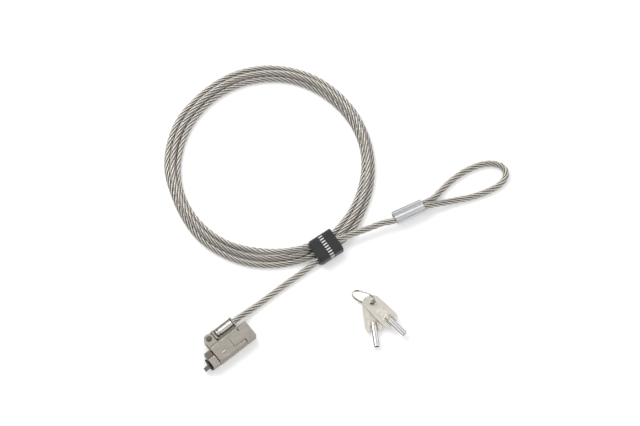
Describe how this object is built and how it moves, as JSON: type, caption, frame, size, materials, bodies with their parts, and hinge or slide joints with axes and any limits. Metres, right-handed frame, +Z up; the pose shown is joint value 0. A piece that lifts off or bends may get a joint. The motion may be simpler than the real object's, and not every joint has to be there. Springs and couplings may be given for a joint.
{
  "type": "laptop cable lock",
  "caption": "Cable lock: push-to-lock head on a swivel arm, coiled steel rope with a crimped eye, strap, and tubular keys on a ring.",
  "frame": {"origin": "middle of the lock head's underside, which lies on the table", "axes": "-X out of the locking tip, +X to the key end, +Y to the swivel arm and the coil, +Z up"},
  "size_m": [0.2844, 0.2538, 0.0197],
  "materials": {
    "rope": "bare twisted wire rope, satin",
    "cast_nickel": "cast zinc with satin nickel plate",
    "dark_nickel": "dark plated hardened steel",
    "bright_steel": "bright turned steel",
    "chrome": "bright chrome plate",
    "key_nickel": "cast zinc with bright warm nickel plate",
    "sleeve": "pressed aluminium, bright",
    "rubber": "matt black rubber",
    "strap": "woven black hook-and-loop tape",
    "spring_wire": "spring steel wire",
    "pin_brass": "turned brass"
  },
  "bodies": {
    "cable": {"cable_coil": "rope", "cable_lock_tail": "rope", "cable_loop_tail": "rope", "cable_eye": "rope", "cable_strap": "strap", "eye_sleeve": "sleeve", "swivel_ferrule": "bright_steel"},
    "swivel_arm": {"swivel_arm": "cast_nickel"},
    "housing": {"housing_shell": "cast_nickel", "top_cover": "cast_nickel", "nose_block": "cast_nickel", "stop_block": "dark_nickel", "rubber_pad": "rubber", "hook_tip": "dark_nickel", "hook_pin": "bright_steel", "pivot_pin": "dark_nickel", "cover_screw_1": "bright_steel", "cover_screw_2": "bright_steel", "return_spring_1": "spring_wire", "return_spring_2": "spring_wire"},
    "push_button": {"push_button": "cast_nickel", "cylinder_shell": "bright_steel", "locking_blade": "dark_nickel", "blade_pin": "bright_steel", "latch_spring": "spring_wire", "pin_spring_1": "spring_wire", "pin_spring_2": "spring_wire", "pin_spring_3": "spring_wire", "pin_spring_4": "spring_wire", "pin_spring_5": "spring_wire", "pin_spring_6": "spring_wire", "pin_spring_7": "spring_wire"},
    "key_plug": {"key_plug": "bright_steel", "plug_cam": "dark_nickel", "retaining_clip": "spring_wire", "tumbler_pin_1": "pin_brass", "tumbler_pin_2": "pin_brass", "tumbler_pin_3": "pin_brass", "tumbler_pin_4": "pin_brass", "tumbler_pin_5": "pin_brass", "tumbler_pin_6": "pin_brass", "tumbler_pin_7": "pin_brass"},
    "latch_pin": {"latch_pin": "dark_nickel"},
    "key_ring": {"key_ring": "bright_steel"},
    "key_a": {"key_a_bow": "key_nickel", "key_a_barrel": "chrome"},
    "key_b": {"key_b_bow": "key_nickel", "key_b_barrel": "chrome"}
  },
  "joints": [
    {"name": "swivel_spin", "type": "hinge", "parent": "cable", "child": "swivel_arm", "pos_m": [0.015, 0.0132, 0.0053], "axis": [1, 0, 0], "continuous": true},
    {"name": "head_pivot", "type": "hinge", "parent": "swivel_arm", "child": "housing", "pos_m": [-0.0087, 0.0132, 0.0053], "axis": [0, 0, -1], "range_deg": [0, 150]},
    {"name": "button_slide", "type": "slide", "parent": "housing", "child": "push_button", "axis": [1, 0, 0], "range_m": [0, 0.0035]},
    {"name": "plug_turn", "type": "hinge", "parent": "push_button", "child": "key_plug", "pos_m": [0.0174, 0, 0.00525], "axis": [1, 0, 0], "range_deg": [0, 90]},
    {"name": "latch_lift", "type": "slide", "parent": "push_button", "child": "latch_pin", "axis": [0, 0, 1], "range_m": [0, 0.00127], "deforming": ["latch_spring"]},
    {"name": "ring_lift", "type": "slide", "parent": "cable", "child": "key_ring", "axis": [0, 0, 1], "range_m": [0, 0.05]},
    {"name": "key_a_swing", "type": "hinge", "parent": "key_ring", "child": "key_a", "pos_m": [0.10717, -0.04102, 0.0031], "axis": [0, 0, -1], "range_deg": [0, 60]},
    {"name": "key_b_swing", "type": "hinge", "parent": "key_ring", "child": "key_b", "pos_m": [0.10864, -0.04247, 0.0056], "axis": [0, 0, 1], "range_deg": [0, 60]}
  ],
  "couplings": [
    {"joint": "plug_turn", "follows": "latch_lift", "rad_per_m": 1234}
  ]
}
